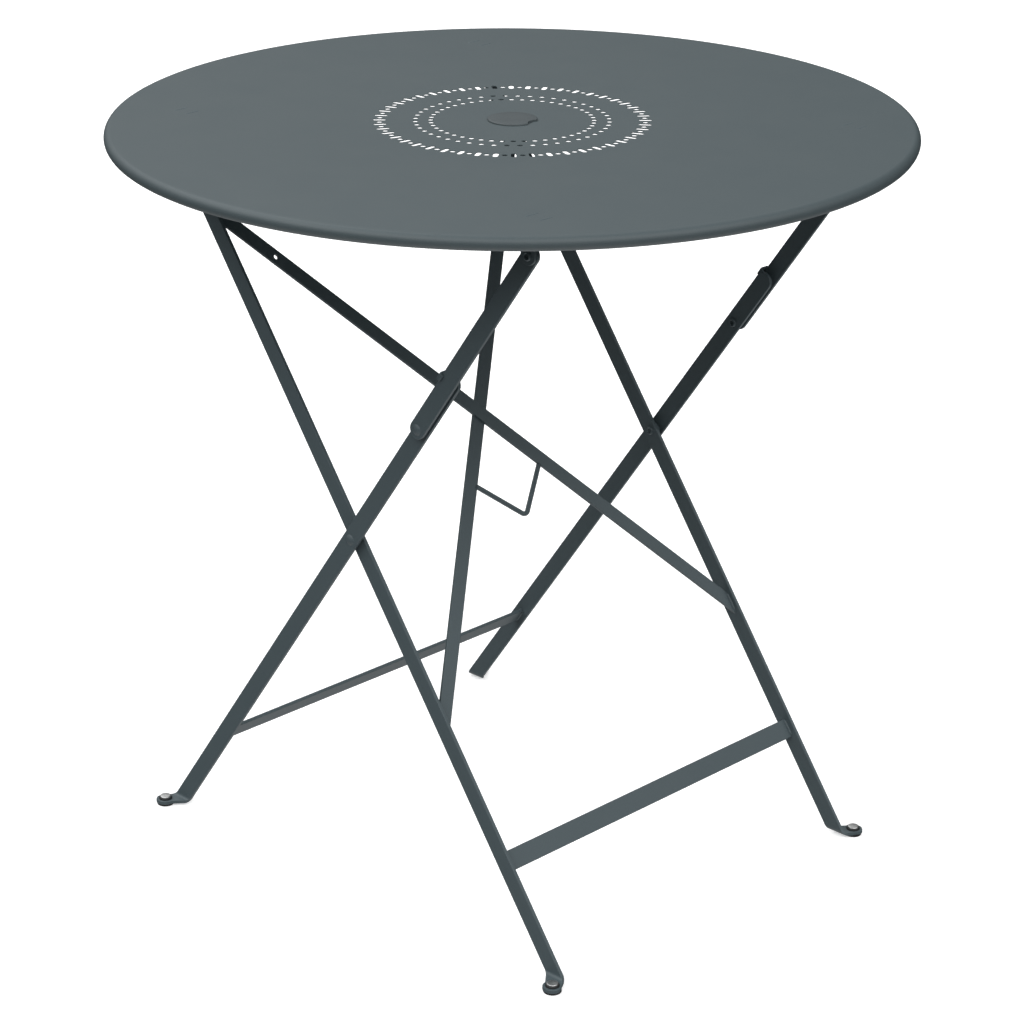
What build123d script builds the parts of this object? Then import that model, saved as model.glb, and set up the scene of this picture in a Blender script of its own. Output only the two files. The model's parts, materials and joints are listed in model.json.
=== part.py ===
from build123d import *
import os
from math import cos, pi, radians, sin, tan

# Folding bistro table.  Millimetres, +Z up, origin on the floor under the centre of the top.
# X is the direction in which the legs spread, Y runs along the crossbars.
# "inner" legs are hinged to the top at -X and stand at +X; "outer" legs stand at -X
# and reach the top at +X through a pair of knee-jointed struts.
# "near" is the -Y side and "far" is the +Y side.

# ---------------------------------------------------------------- overall
TOP_DIAMETER = 770.0        # over the rolled rim
TABLE_HEIGHT = 740.0        # floor to upper face
SHEET = 0.8                 # steel sheet of the top
RIM_TUBE = 13.5             # outside diameter of the rolled rim
RIM_CURL = 215.0            # degrees that the sheet is rolled round

# ---------------------------------------------------------------- folding linkage
PIVOT_SPAN = 484.0          # between the two hinge lines under the top
PIVOT_DROP = 32.0           # hinge lines below the upper face
LEG_LEAN = 35.8             # degrees from the vertical
INNER_LEG_Y = 207.0         # centre plane of the inner legs
HEEL = 63.0                 # outer leg runs on past the knee by this much

# ---------------------------------------------------------------- bar stock
BAR_W = 18.0
CROSSBAR_W = 19.5
BAR_T = 3.5
BRACE_W = 14.5
BRACE_T = 3.0
BAR_GAP = 4.6               # between neighbouring bars, filled by a spacer
WIRE_D = 5.0

# ---------------------------------------------------------------- places along the frames
# Distances are measured up the leg's centre line from where that line meets the floor.
INNER_CROSSBAR_AT = 122.0
OUTER_CROSSBAR_AT = 125.5
BRACE_FOOT_AT = 263.0
BRACE_HEAD_BELOW = 69.0     # brace end below the leg's hinge
WIRE_HALF_SPAN = 43.0       # wire ends from the middle of the table
WIRE_BEND = 3.0             # inside radius of the wire's point
STORE_HOLE_D = 5.0          # through hole near the head of the front brace
STORE_HOLE_Y = 158.0

# ---------------------------------------------------------------- feet
GLIDE_D = 17.5
GLIDE_H = 2.5
PAD_D = 19.0
PAD_REACH = 10.5            # centre of the pad beyond the bend, across the table
FOOT_BEND = 5.0             # centre-line radius of the bend above the pad
BEND_SECTIONS = 5           # sections that the bend is lofted through
COLLAR_D = 13.5
COLLAR_H = 1.6
FOOT_HEAD_D = 11.5
FOOT_HEAD_H = 2.0
FOOT_SHANK_D = 5.0

# ---------------------------------------------------------------- rivets and brackets
SHANK_D = 6.0
RIVET_HEAD_D = 11.0
RIVET_HEAD_H = 2.0
TAIL_D = 9.0
TAIL_H = 1.8
TAIL_BORE = 4.2
SPACER_D = 14.0
RUN_GAP = 0.08              # radial running clearance of a pivot hole
SIDE_GAP = 0.3              # side clearance of a moving joint
EAR_W = 17.0
EAR_T = 3.0
BRACKET_FOOT = 26.0         # how far a bracket's flange reaches in under the top
RIM_CLEAR = 1.0             # a bracket's plate stays this far inside the rolled rim
HOOK_T = 2.5                # over-travel hook on the outer leg's heel
HOOK_L = 7.5
HOOK_LIP = 3.0
HOOK_GAP = 0.3

# ---------------------------------------------------------------- perforations and cap
RING_HOLES = 48
RING_RADII = (77.5, 92.0)
RING_HOLE_D = 5.5
SLOT_RING_R = 126.0
SLOT_L = 13.0
SLOT_W = 5.2
SLOT_RING_HOLE_D = 5.6
PARASOL_BORE = 42.0
CAP_LIP = 3.0               # how far the cap laps over the sheet round its bore
CAP_H = 1.8
CAP_SKIRT = 11.0
CAP_WALL = 2.0
CAP_FIT = 0.2               # radial clearance of the cap's skirt
NOTCH_R = 12.0
NOTCH_BITE = 4.5
NOTCH_AT = 12.0             # degrees from +X

# ---------------------------------------------------------------- worked out
LEAN_SIN, LEAN_COS = sin(radians(LEG_LEAN)), cos(radians(LEG_LEAN))
LEAN_TAN = tan(radians(LEG_LEAN))
HALF_SPAN = PIVOT_SPAN / 2
CAP_D = PARASOL_BORE + 2 * CAP_LIP
PIVOT_Z = TABLE_HEIGHT - PIVOT_DROP
PIVOT_AT = PIVOT_Z / LEAN_COS
SCISSOR_AT = (PIVOT_Z - HALF_SPAN / LEAN_TAN) / LEAN_COS
STRUT_LENGTH = HALF_SPAN            # the one length that lets the linkage fold flat
KNEE_AT = PIVOT_AT - STRUT_LENGTH
FOOT_X = PIVOT_Z * LEAN_TAN - HALF_SPAN
BAR_PITCH = BAR_T + BAR_GAP
OUTER_LEG_Y = INNER_LEG_Y + BAR_PITCH
STRUT_Y = OUTER_LEG_Y + BAR_PITCH
PAD_MID_Z = GLIDE_H + BAR_T / 2
BEND_Z = PAD_MID_Z + FOOT_BEND
SHEET_UNDER_Z = TABLE_HEIGHT - SHEET
BRACE_REACH = INNER_LEG_Y - BAR_T / 2
BRACE_HEAD_AT = PIVOT_AT - BRACE_HEAD_BELOW
BRACE_MIDDLE_AT = (BRACE_HEAD_AT + BRACE_FOOT_AT) / 2
BRACE_SLOPE = (BRACE_HEAD_AT - BRACE_FOOT_AT) / (2 * BRACE_REACH)
BRACE_HALF = BRACE_W / 2 * (1 + BRACE_SLOPE ** 2) ** 0.5    # half its width, measured up the frame
PIVOT_HOLE_D = SHANK_D + 2 * RUN_GAP

INNER, OUTER = 1, -1                # the side, in X, that a frame's feet stand on
ON_XZ = Plane.XZ                    # local x is X, local y is Z, normal is -Y


def place(frame, along, across=0.0):
    """X and Z of a point on a frame: along the leg from the floor, and across it."""
    x = frame * (FOOT_X - along * LEAN_SIN) + across * LEAN_COS
    z = along * LEAN_COS + frame * across * LEAN_SIN
    return x, z


def frame_plane(frame, at, lift=0.0):
    """Plane of a frame: x up the leg, y along +Y, raised by lift on its upper-right face."""
    x, z = place(frame, at, lift)
    up = Vector(-frame * LEAN_SIN, 0, LEAN_COS)
    normal = Vector(-LEAN_COS, 0, -frame * LEAN_SIN)
    return Plane(origin=(x, 0, z), x_dir=up, z_dir=normal)


def plate(face, y, thickness):
    """A flat piece standing in the plane at y, drawn in X and Z."""
    return extrude(ON_XZ.offset(-y) * face, amount=thickness / 2, both=True)


def pin(x, z, y0, y1, diameter):
    """A round bar along Y from y0 to y1."""
    middle = (x, (y0 + y1) / 2, z)
    return Pos(*middle) * Rot(90, 0, 0) * Cylinder(diameter / 2, abs(y1 - y0))


def dome(x, z, y, side, diameter, height):
    """A rounded rivet head that stands on the face at y and points along side."""
    radius = (diameter ** 2 / 4 + height ** 2) / (2 * height)
    ball = Pos(x, y + side * (height - radius), z) * Sphere(radius)
    block = Pos(x, y + side * height, z) * Box(diameter * 2, height * 2, diameter * 2)
    return ball & block


def tail(x, z, y, side):
    """The rolled, hollow end of a semi-tubular rivet, on the face at y."""
    ring = pin(x, z, y, y + side * TAIL_H, TAIL_D)
    ring = fillet(ring.edges().filter_by(GeomType.CIRCLE).group_by(Axis.Y)[-1 if side > 0 else 0],
                  TAIL_H * 0.55)
    return ring - pin(x, z, y - side * TAIL_H, y + side * TAIL_H * 2, TAIL_BORE)


def bar_face(frame, bottom, top, cut_z=None, round_foot=False, round_head=True):
    """Outline of a leaning bar; cut_z trims its lower end level."""
    half = BAR_W / 2
    if cut_z is None:
        low = [place(frame, bottom, half), place(frame, bottom, -half)]
    else:
        low = [place(frame, (cut_z - frame * side * LEAN_SIN) / LEAN_COS, side)
               for side in (half, -half)]
    high = [place(frame, top, -half), place(frame, top, half)]
    face = make_face(Polyline(*low, *high, close=True))
    for wanted, at in ((round_foot, bottom), (round_head, top)):
        if wanted:
            face += Pos(*place(frame, at)) * Circle(half)
    return face


def foot(frame, leg_y):
    """The bend and the pad at the near leg's lower end."""
    width = BAR_W / LEAN_COS
    start_x = frame * (FOOT_X - BEND_Z * LEAN_TAN)
    sections = []
    for step in range(BEND_SECTIONS):
        turn = pi / 2 * step / (BEND_SECTIONS - 1)
        x = start_x + frame * LEAN_TAN * FOOT_BEND * turn
        y = -leg_y - FOOT_BEND * (1 - cos(turn))
        z = BEND_Z - FOOT_BEND * sin(turn)
        section = Plane(origin=(x, y, z), x_dir=(1, 0, 0), z_dir=(0, -sin(turn), -cos(turn)))
        sections.append(section * Rectangle(width, BAR_T))
    end_x, end_y = x, -leg_y - FOOT_BEND
    pad_x, pad_y = pad_centre(frame, leg_y)
    rim = Pos(pad_x, pad_y) * Circle(PAD_D / 2)
    edge = Line((end_x - width / 2, end_y), (end_x + width / 2, end_y))
    pad = extrude(Pos(0, 0, PAD_MID_Z) * make_hull(rim.edges() + edge.edges()), BAR_T / 2, both=True)
    return loft(sections) + pad


def pad_centre(frame, leg_y):
    """X and Y of the middle of the near foot's pad."""
    run = FOOT_BEND * pi / 2 + PAD_REACH
    x = frame * (FOOT_X - BEND_Z * LEAN_TAN + LEAN_TAN * run)
    return x, -leg_y - FOOT_BEND - PAD_REACH


def upright(frame, x, y, z0, z1, diameter):
    """A round bar along Z."""
    return Pos(x, y, (z0 + z1) / 2) * Cylinder(diameter / 2, z1 - z0)


def leg_near(frame, leg_y, top, holes):
    leg = plate(bar_face(frame, 0, top, cut_z=BEND_Z), -leg_y, BAR_T) + foot(frame, leg_y)
    for at in holes:
        x, z = place(frame, at)
        leg -= pin(x, z, -leg_y - BAR_T, -leg_y + BAR_T, PIVOT_HOLE_D)
    x, y = pad_centre(frame, leg_y)
    return leg - upright(frame, x, y, 0, BEND_Z, FOOT_SHANK_D)


def heel_hook():
    """Bent tab on the outer leg's heel that laps round the strut and stops the knee."""
    face_in = -OUTER_LEG_Y + BAR_T / 2
    face_out = -STRUT_Y - BAR_T / 2 - HOOK_GAP
    edge = -BAR_W / 2 - HOOK_GAP
    low, high = KNEE_AT + HEEL, KNEE_AT + HEEL + HOOK_L

    def block(across0, across1, y0, y1):
        corners = [place(OUTER, low, across0), place(OUTER, high, across0),
                   place(OUTER, high, across1), place(OUTER, low, across1)]
        return plate(make_face(Polyline(*corners, close=True)), (y0 + y1) / 2, abs(y1 - y0))

    root = block(edge - HOOK_T, -BAR_W / 4, face_in, face_in - BAR_T)
    wall = block(edge - HOOK_T, edge, face_in, face_out - HOOK_T)
    lip = block(edge - HOOK_T, edge + HOOK_LIP, face_out, face_out - HOOK_T)
    hook = root + wall + lip
    outer_edges = hook.edges().filter_by(lambda e: abs(e.length - HOOK_L) < 0.01)
    outer_edges = outer_edges.sort_by(Axis.X)[:1]
    return fillet(outer_edges, HOOK_T * 0.8)


def bracket(x, bar_y):
    """Ear and flange under the top, outside the bar that hangs on it."""
    ear_in = -bar_y - BAR_T / 2 - SIDE_GAP
    reach = SHEET_UNDER_Z - PIVOT_Z
    outline = Pos(x, PIVOT_Z + reach / 2) * Rectangle(EAR_W, reach)
    outline += Pos(x, PIVOT_Z) * Circle(EAR_W / 2)
    ear = plate(outline, ear_in - EAR_T / 2, EAR_T)
    flange_y = ear_in - EAR_T + BRACKET_FOOT / 2
    flange = Pos(x, flange_y, SHEET_UNDER_Z - EAR_T / 2) * Box(EAR_W, BRACKET_FOOT, EAR_T)
    plates = ear + flange - pin(x, PIVOT_Z, ear_in + EAR_T, ear_in - 2 * EAR_T, SHANK_D)
    room = Cylinder(TOP_DIAMETER / 2 - RIM_TUBE - RIM_CLEAR, SHEET_UNDER_Z)
    return plates & Pos(0, 0, SHEET_UNDER_Z / 2) * room


def pivot_rivet(x, bar_y):
    """Head on the bar's inner face, rolled tail on the ear's outer face."""
    head_face = -bar_y + BAR_T / 2 + SIDE_GAP
    tail_face = -bar_y - BAR_T / 2 - SIDE_GAP - EAR_T
    shank = pin(x, PIVOT_Z, head_face, tail_face, SHANK_D)
    head = dome(x, PIVOT_Z, head_face, 1, RIVET_HEAD_D, RIVET_HEAD_H)
    return shank + head + tail(x, PIVOT_Z, tail_face, -1)


def through_rivet(x, z, head_face, tail_face):
    """Head outside, at the more negative Y, and rolled tail inside."""
    shank = pin(x, z, head_face, tail_face, SHANK_D)
    return shank + dome(x, z, head_face, -1, RIVET_HEAD_D, RIVET_HEAD_H) + tail(x, z, tail_face, 1)


def washer(x, z, y0, y1, bore):
    return pin(x, z, y0, y1, SPACER_D) - pin(x, z, y0, y1, bore)


# ---------------------------------------------------------------- the top
def tabletop():
    sheet = Circle(TOP_DIAMETER / 2 - RIM_TUBE / 2) - Circle(PARASOL_BORE / 2)
    step = 360 / RING_HOLES
    for ring, radius in enumerate(RING_RADII):
        sheet -= Rot(0, 0, ring * step / 2) * PolarLocations(radius, RING_HOLES) * Circle(RING_HOLE_D / 2)
    sheet -= PolarLocations(SLOT_RING_R, RING_HOLES) * SlotOverall(SLOT_L, SLOT_W)
    sheet -= (Rot(0, 0, step / 2) * PolarLocations(SLOT_RING_R, RING_HOLES)
              * Circle(SLOT_RING_HOLE_D / 2))
    panel = extrude(Pos(0, 0, SHEET_UNDER_Z) * sheet, SHEET)
    outer, inner = RIM_TUBE / 2, RIM_TUBE / 2 - SHEET
    centre = (TOP_DIAMETER / 2 - outer, TABLE_HEIGHT - outer)
    outside = CenterArc(centre, outer, 90, -RIM_CURL)
    inside = CenterArc(centre, inner, 90, -RIM_CURL)
    ends = [Line(outside @ end, inside @ end) for end in (0, 1)]
    curl = make_face(Curve() + [outside, inside] + ends)
    return panel + revolve(ON_XZ * curl, Axis.Z)


def parasol_cap():
    flange = Pos(0, 0, TABLE_HEIGHT) * extrude(Circle(CAP_D / 2), CAP_H)
    flange = fillet(flange.edges().group_by(Axis.Z)[-1], CAP_H * 0.6)
    notch_x, notch_y = CAP_D / 2 + NOTCH_R - NOTCH_BITE, 0
    bite = Rot(0, 0, NOTCH_AT) * Pos(notch_x, notch_y, TABLE_HEIGHT) * Cylinder(NOTCH_R, CAP_H * 3)
    skirt_r = PARASOL_BORE / 2 - CAP_FIT
    skirt = extrude(Circle(skirt_r) - Circle(skirt_r - CAP_WALL), CAP_SKIRT)
    return flange - bite + Pos(0, 0, TABLE_HEIGHT - CAP_SKIRT) * skirt


# ---------------------------------------------------------------- the inner frame
def crossbar(frame, at, leg_y):
    length = 2 * leg_y - BAR_T
    return extrude(frame_plane(frame, at) * Rectangle(CROSSBAR_W, length), BAR_T / 2, both=True)


def brace_at(y, slope):
    """Distance up the frame of a brace's middle line; slope 1 rises towards the far side."""
    return BRACE_MIDDLE_AT + slope * y * BRACE_SLOPE


def brace(lift, slope):
    """Mitred diagonal between the inner legs."""
    near_at, far_at = brace_at(-BRACE_REACH, slope), brace_at(BRACE_REACH, slope)
    outline = Polyline((near_at - BRACE_HALF, -BRACE_REACH), (near_at + BRACE_HALF, -BRACE_REACH),
                       (far_at + BRACE_HALF, BRACE_REACH), (far_at - BRACE_HALF, BRACE_REACH),
                       close=True)
    return extrude(frame_plane(INNER, 0, lift) * make_face(outline), BRACE_T / 2, both=True)


def front_brace():
    bar = brace(BRACE_T / 2, -1)
    at = brace_at(-STORE_HOLE_Y, -1)
    hole = Circle(STORE_HOLE_D / 2)
    return bar - extrude(frame_plane(INNER, at) * Pos(0, -STORE_HOLE_Y) * hole, BAR_W, both=True)


def wire_loop(braces):
    """V of round wire between the lower edges of the two braces."""
    end_at = brace_at(-WIRE_HALF_SPAN, 1) - BRACE_HALF
    point_at = end_at - WIRE_HALF_SPAN
    path_plane = frame_plane(INNER, 0)
    ends = [path_plane.from_local_coords((end_at, side * WIRE_HALF_SPAN)) for side in (-1, 1)]
    point = path_plane.from_local_coords((point_at, 0))
    path = FilletPolyline(ends[0], point, ends[1], radius=WIRE_BEND + WIRE_D / 2)
    section = Plane(origin=path @ 0, z_dir=path % 0) * Circle(WIRE_D / 2)
    return sweep(section, path) - braces


def inner_leg():
    return leg_near(INNER, INNER_LEG_Y, PIVOT_AT, [SCISSOR_AT, PIVOT_AT])


def outer_leg():
    leg = leg_near(OUTER, OUTER_LEG_Y, KNEE_AT + HEEL, [SCISSOR_AT, KNEE_AT])
    return leg + heel_hook()


def strut():
    bar = plate(bar_face(OUTER, KNEE_AT, PIVOT_AT, round_foot=True), -STRUT_Y, BAR_T)
    for at, bore in ((KNEE_AT, SHANK_D), (PIVOT_AT, PIVOT_HOLE_D)):
        x, z = place(OUTER, at)
        bar -= pin(x, z, -STRUT_Y - BAR_T, -STRUT_Y + BAR_T, bore)
    return bar


def knee_rivet():
    x, z = place(OUTER, KNEE_AT)
    return through_rivet(x, z, -STRUT_Y - BAR_T / 2, -OUTER_LEG_Y + BAR_T / 2 + SIDE_GAP)


def knee_spacer():
    x, z = place(OUTER, KNEE_AT)
    return washer(x, z, -STRUT_Y + BAR_T / 2, -OUTER_LEG_Y - BAR_T / 2 - SIDE_GAP, SHANK_D)


def scissor_head():
    """Outer half of the scissor rivet, set in the outer leg."""
    x, z = place(OUTER, SCISSOR_AT)
    face = -OUTER_LEG_Y - BAR_T / 2
    return pin(x, z, face, face + BAR_T, PIVOT_HOLE_D) + dome(x, z, face, -1, RIVET_HEAD_D, RIVET_HEAD_H)


def scissor_tail():
    """Inner half of the scissor rivet, set in the inner leg."""
    x, z = place(INNER, SCISSOR_AT)
    face = -INNER_LEG_Y + BAR_T / 2
    shank = pin(x, z, face - BAR_PITCH + SIDE_GAP, face, PIVOT_HOLE_D)
    return shank + tail(x, z, face, 1)


def scissor_spacer():
    x, z = place(INNER, SCISSOR_AT)
    return washer(x, z, -INNER_LEG_Y - BAR_T / 2, -OUTER_LEG_Y + BAR_T / 2 + SIDE_GAP, PIVOT_HOLE_D)


def foot_parts(frame, leg_y):
    """Glide, collar and rivet of the near foot."""
    x, y = pad_centre(frame, leg_y)
    pad_top = GLIDE_H + BAR_T
    collar_top = pad_top + COLLAR_H
    glide = upright(frame, x, y, 0, GLIDE_H, GLIDE_D)
    glide = fillet(glide.edges().group_by(Axis.Z)[0], GLIDE_H * 0.4)
    glide -= upright(frame, x, y, GLIDE_H / 2, GLIDE_H, FOOT_SHANK_D)
    collar = upright(frame, x, y, pad_top, collar_top, COLLAR_D)
    collar = fillet(collar.edges().group_by(Axis.Z)[-1], COLLAR_H * 0.5)
    collar -= upright(frame, x, y, pad_top, collar_top, FOOT_SHANK_D)
    shank = upright(frame, x, y, GLIDE_H / 2, collar_top, FOOT_SHANK_D)
    head = upright(frame, x, y, collar_top, collar_top + FOOT_HEAD_H, FOOT_HEAD_D)
    head = fillet(head.edges().group_by(Axis.Z)[-1], FOOT_HEAD_H * 0.6)
    return {"glide": glide, "collar": collar, "rivet": shank + head}


def build():
    front, rear = front_brace(), brace(-BRACE_T / 2, 1)
    single = {
        "tabletop": tabletop(),
        "parasol_cap": parasol_cap(),
        "inner_crossbar": crossbar(INNER, INNER_CROSSBAR_AT, INNER_LEG_Y),
        "outer_crossbar": crossbar(OUTER, OUTER_CROSSBAR_AT, OUTER_LEG_Y),
        "front_brace": front,
        "rear_brace": rear,
        "wire_loop": wire_loop(front + rear),
    }
    paired = {
        "leg_bracket": bracket(-HALF_SPAN, INNER_LEG_Y),
        "strut_bracket": bracket(HALF_SPAN, STRUT_Y),
        "leg_pivot_rivet": pivot_rivet(-HALF_SPAN, INNER_LEG_Y),
        "strut_pivot_rivet": pivot_rivet(HALF_SPAN, STRUT_Y),
        "inner_leg": inner_leg(),
        "outer_leg": outer_leg(),
        "strut": strut(),
        "knee_rivet": knee_rivet(),
        "knee_spacer": knee_spacer(),
        "scissor_rivet_head": scissor_head(),
        "scissor_rivet_tail": scissor_tail(),
        "scissor_spacer": scissor_spacer(),
    }
    for frame, name, leg_y in ((INNER, "inner", INNER_LEG_Y), (OUTER, "outer", OUTER_LEG_Y)):
        for piece, solid in foot_parts(frame, leg_y).items():
            paired[f"{name}_foot_{piece}"] = solid
    nodes = dict(single)
    for name, solid in paired.items():
        nodes[f"{name}_near"] = solid
        nodes[f"{name}_far"] = mirror(solid, about=Plane.XZ)
    return nodes


os.makedirs("parts", exist_ok=True)
for node, shape in build().items():
    export_step(shape, f"parts/{node}.step")
    print(node, round(shape.volume, 1))
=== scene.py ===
import json
import math

import bmesh
import bpy
from mathutils import Matrix, Vector


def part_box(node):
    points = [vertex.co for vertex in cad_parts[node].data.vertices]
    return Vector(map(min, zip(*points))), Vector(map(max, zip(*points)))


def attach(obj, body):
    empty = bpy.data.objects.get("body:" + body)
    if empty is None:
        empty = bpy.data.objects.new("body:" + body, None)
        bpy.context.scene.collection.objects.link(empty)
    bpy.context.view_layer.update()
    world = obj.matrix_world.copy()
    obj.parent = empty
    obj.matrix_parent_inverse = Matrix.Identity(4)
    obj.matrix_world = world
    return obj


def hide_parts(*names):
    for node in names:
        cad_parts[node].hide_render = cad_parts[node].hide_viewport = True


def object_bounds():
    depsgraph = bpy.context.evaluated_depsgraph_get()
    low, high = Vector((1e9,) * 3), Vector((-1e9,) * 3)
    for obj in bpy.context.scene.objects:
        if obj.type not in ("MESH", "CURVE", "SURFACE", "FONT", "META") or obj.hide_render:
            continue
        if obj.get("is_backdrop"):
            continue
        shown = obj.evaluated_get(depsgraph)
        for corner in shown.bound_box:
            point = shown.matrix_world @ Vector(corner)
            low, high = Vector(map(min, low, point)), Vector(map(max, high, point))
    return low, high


# A round folding bistro table: a pressed steel top with a rolled rim, on crossed flat-bar legs.
# Metres.  X is the way the legs spread, Y runs along the crossbars, +Z is up.
# The inner legs stand at +X and hang on the top at -X.  The outer legs stand at -X and reach
# the top at +X through two struts.  "near" is the -Y side and "far" is the +Y side.

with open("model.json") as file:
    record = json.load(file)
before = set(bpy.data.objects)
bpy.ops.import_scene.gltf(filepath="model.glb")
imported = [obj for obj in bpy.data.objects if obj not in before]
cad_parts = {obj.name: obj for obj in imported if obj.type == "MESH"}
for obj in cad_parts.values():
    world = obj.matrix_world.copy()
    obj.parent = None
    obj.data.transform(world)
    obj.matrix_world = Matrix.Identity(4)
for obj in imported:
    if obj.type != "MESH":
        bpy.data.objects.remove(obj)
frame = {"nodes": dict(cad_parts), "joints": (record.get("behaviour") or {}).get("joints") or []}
cad_low, cad_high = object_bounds()

# ------------------------------------------------------------------ sizes
MM = 0.001
BAR_W, BAR_T = 18.0 * MM, 3.5 * MM      # flat bar of the legs
CROSSBAR_W = 19.5 * MM
BRACE_W, BRACE_T = 14.5 * MM, 3.0 * MM  # flat bar of the two diagonals
WIRE_R = 2.5 * MM
SHEET = 0.8 * MM                        # steel sheet of the top
RIM_R = 6.75 * MM                       # outside radius of the rolled rim
RIM_CURL = math.radians(215)
EAR_T = 3.0 * MM                        # bracket plate

FOOT_BEND = 5.0 * MM                    # centre-line radius of the bend over the pad
PAD_R = 9.5 * MM
PAD_REACH = 10.5 * MM
GLIDE_H = 2.5 * MM

BRACE_FOOT = 263.0 * MM                 # diagonals' ends on the legs, up from the floor
BRACE_HEAD_BELOW = 69.0 * MM            # and below the legs' hinge
STORE_HOLE = (158.0 * MM, 2.5 * MM)     # place across, and radius, of the front diagonal's hole
WIRE_HALF_SPAN = 43.0 * MM
WIRE_BEND = 5.5 * MM                    # centre-line radius of the wire's point

HOOK_FROM, HOOK_LENGTH = 63.0 * MM, 7.5 * MM
HOOK_T, HOOK_LIP = 2.5 * MM, 3.0 * MM
HOOK_GAP = 0.3 * MM

RINGS = 48                              # times that the pattern of perforations repeats
BORE_R = 21.0 * MM                      # parasol hole
HOLE_RINGS = (77.5 * MM, 92.0 * MM)
HOLE_R = 2.75 * MM
SLOT_RING, SLOT_LONG, SLOT_R = 126.0 * MM, 13.0 * MM, 2.6 * MM
SLOT_RING_HOLE_R = 2.8 * MM
BAND = (70.0 * MM, 134.0 * MM)          # the perforated band of the top

WELD_R = 1.7 * MM
POWDER_EDGE = 0.55 * MM                 # how round the coat leaves the edges of a bar
ROUND_END = 0.4995                      # share of its width by which a round end is bevelled
SAME_SPOT = 0.001 * MM                  # vertices this close are one vertex
END_SPOT = 0.03 * MM                    # the same, where a round end's two bevels meet
BEVEL_ACROSS = 0.99                     # an edge this close to an axis runs along it

# ------------------------------------------------------------------ places, from the frame
joints = {joint["name"]: joint for joint in frame["joints"]}
LEG_HINGE = Vector(joints["leg_fold"]["pos_m"])
STRUT_HINGE = Vector(joints["strut_fold_near"]["pos_m"])
KNEE = Vector(joints["knee_fold"]["pos_m"])
LEAN = math.atan2(STRUT_HINGE.x - KNEE.x, STRUT_HINGE.z - KNEE.z)
HINGE_AT = LEG_HINGE.z / math.cos(LEAN)             # up a leg's middle line from the floor
KNEE_AT = KNEE.z / math.cos(LEAN)
FOOT_X = LEG_HINGE.z * math.tan(LEAN) + LEG_HINGE.x
BEND_Z = GLIDE_H + BAR_T / 2 + FOOT_BEND
TOP_R = cad_high.x
TOP_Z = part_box("tabletop")[1].z
UNDER_Z = TOP_Z - SHEET
INNER, OUTER = 1, -1                                # the side, in X, that a frame stands on
INNER_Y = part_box("inner_leg_far")[0].y + BAR_T / 2
OUTER_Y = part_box("outer_leg_far")[0].y + BAR_T / 2
STRUT_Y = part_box("strut_far")[0].y + BAR_T / 2
SIDES = {"near": -1, "far": 1}


def on_frame(side, along, across=0.0, y=0.0):
    """A point on a leaning frame: along the leg from the floor, and across it."""
    x = side * (FOOT_X - along * math.sin(LEAN)) + across * math.cos(LEAN)
    z = along * math.cos(LEAN) + side * across * math.sin(LEAN)
    return Vector((x, y, z))


def up_frame(side):
    return Vector((-side * math.sin(LEAN), 0, math.cos(LEAN)))


def across_frame(side):
    return Vector((math.cos(LEAN), 0, side * math.sin(LEAN)))


# ------------------------------------------------------------------ modelling
def fresh():
    """Object mode, with nothing selected."""
    if bpy.context.object and bpy.context.object.mode != "OBJECT":
        bpy.ops.object.mode_set(mode="OBJECT")
    bpy.ops.object.select_all(action="DESELECT")


def only(piece):
    fresh()
    piece.select_set(True)
    bpy.context.view_layer.objects.active = piece


def named(name):
    """Names what was just added, and puts its place and turn into its mesh."""
    piece = bpy.context.active_object
    piece.name = piece.data.name = name
    bpy.ops.object.transform_apply(location=True, rotation=True, scale=True)
    return piece


def edit(piece, kind="FACE"):
    only(piece)
    bpy.ops.object.mode_set(mode="EDIT")
    bpy.ops.mesh.select_mode(type=kind)


def pick(piece, kind, wanted):
    """Selects, in edit mode, the vertices, edges or faces for which wanted is true."""
    bpy.ops.mesh.select_mode(type=kind)
    bpy.ops.mesh.select_all(action="DESELECT")
    mesh = bmesh.from_edit_mesh(piece.data)
    parts = {"VERT": mesh.verts, "EDGE": mesh.edges, "FACE": mesh.faces}[kind]
    for part in parts:
        if wanted(part):
            part.select_set(True)
    mesh.select_flush_mode()
    bmesh.update_edit_mesh(piece.data)


def middle(part):
    return sum((vert.co for vert in part.verts), Vector()) / len(part.verts)


def curl(centre, axis, steps=5):
    """Extrudes what is selected a quarter turn round an axis.  The operator's own angle runs clockwise."""
    bpy.ops.mesh.spin(steps=steps, angle=-math.pi / 2, center=centre, axis=axis)


def round_off(piece, width, segments=3, angle=40):
    """Rounds the edges that are sharper than angle, and applies it."""
    smooth(piece, angle)
    bevel = piece.modifiers.new("edge", "BEVEL")
    bevel.width, bevel.segments, bevel.limit_method = width, segments, "ANGLE"
    bevel.angle_limit, bevel.harden_normals = math.radians(angle), True
    bpy.ops.object.modifier_apply(modifier=bevel.name)


def smooth(piece, angle):
    only(piece)
    bpy.ops.object.shade_smooth_by_angle(angle=math.radians(angle))


def cut(piece, cutter):
    """Takes cutter out of piece."""
    only(piece)
    boolean = piece.modifiers.new("cut", "BOOLEAN")
    boolean.object, boolean.operation, boolean.solver = cutter, "DIFFERENCE", "EXACT"
    bpy.ops.object.modifier_apply(modifier=boolean.name)
    bpy.data.objects.remove(cutter)


def other_side(piece, name):
    """A copy, with its own mesh, on the other side of the table."""
    only(piece)
    bpy.ops.object.duplicate(linked=False)
    copy = bpy.context.active_object
    copy.name = copy.data.name = name
    edit(copy)
    bpy.ops.mesh.select_all(action="SELECT")
    bpy.ops.transform.resize(value=(1, -1, 1), center_override=(0, 0, 0))
    bpy.ops.mesh.normals_make_consistent(inside=False)
    fresh()
    return copy


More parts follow.
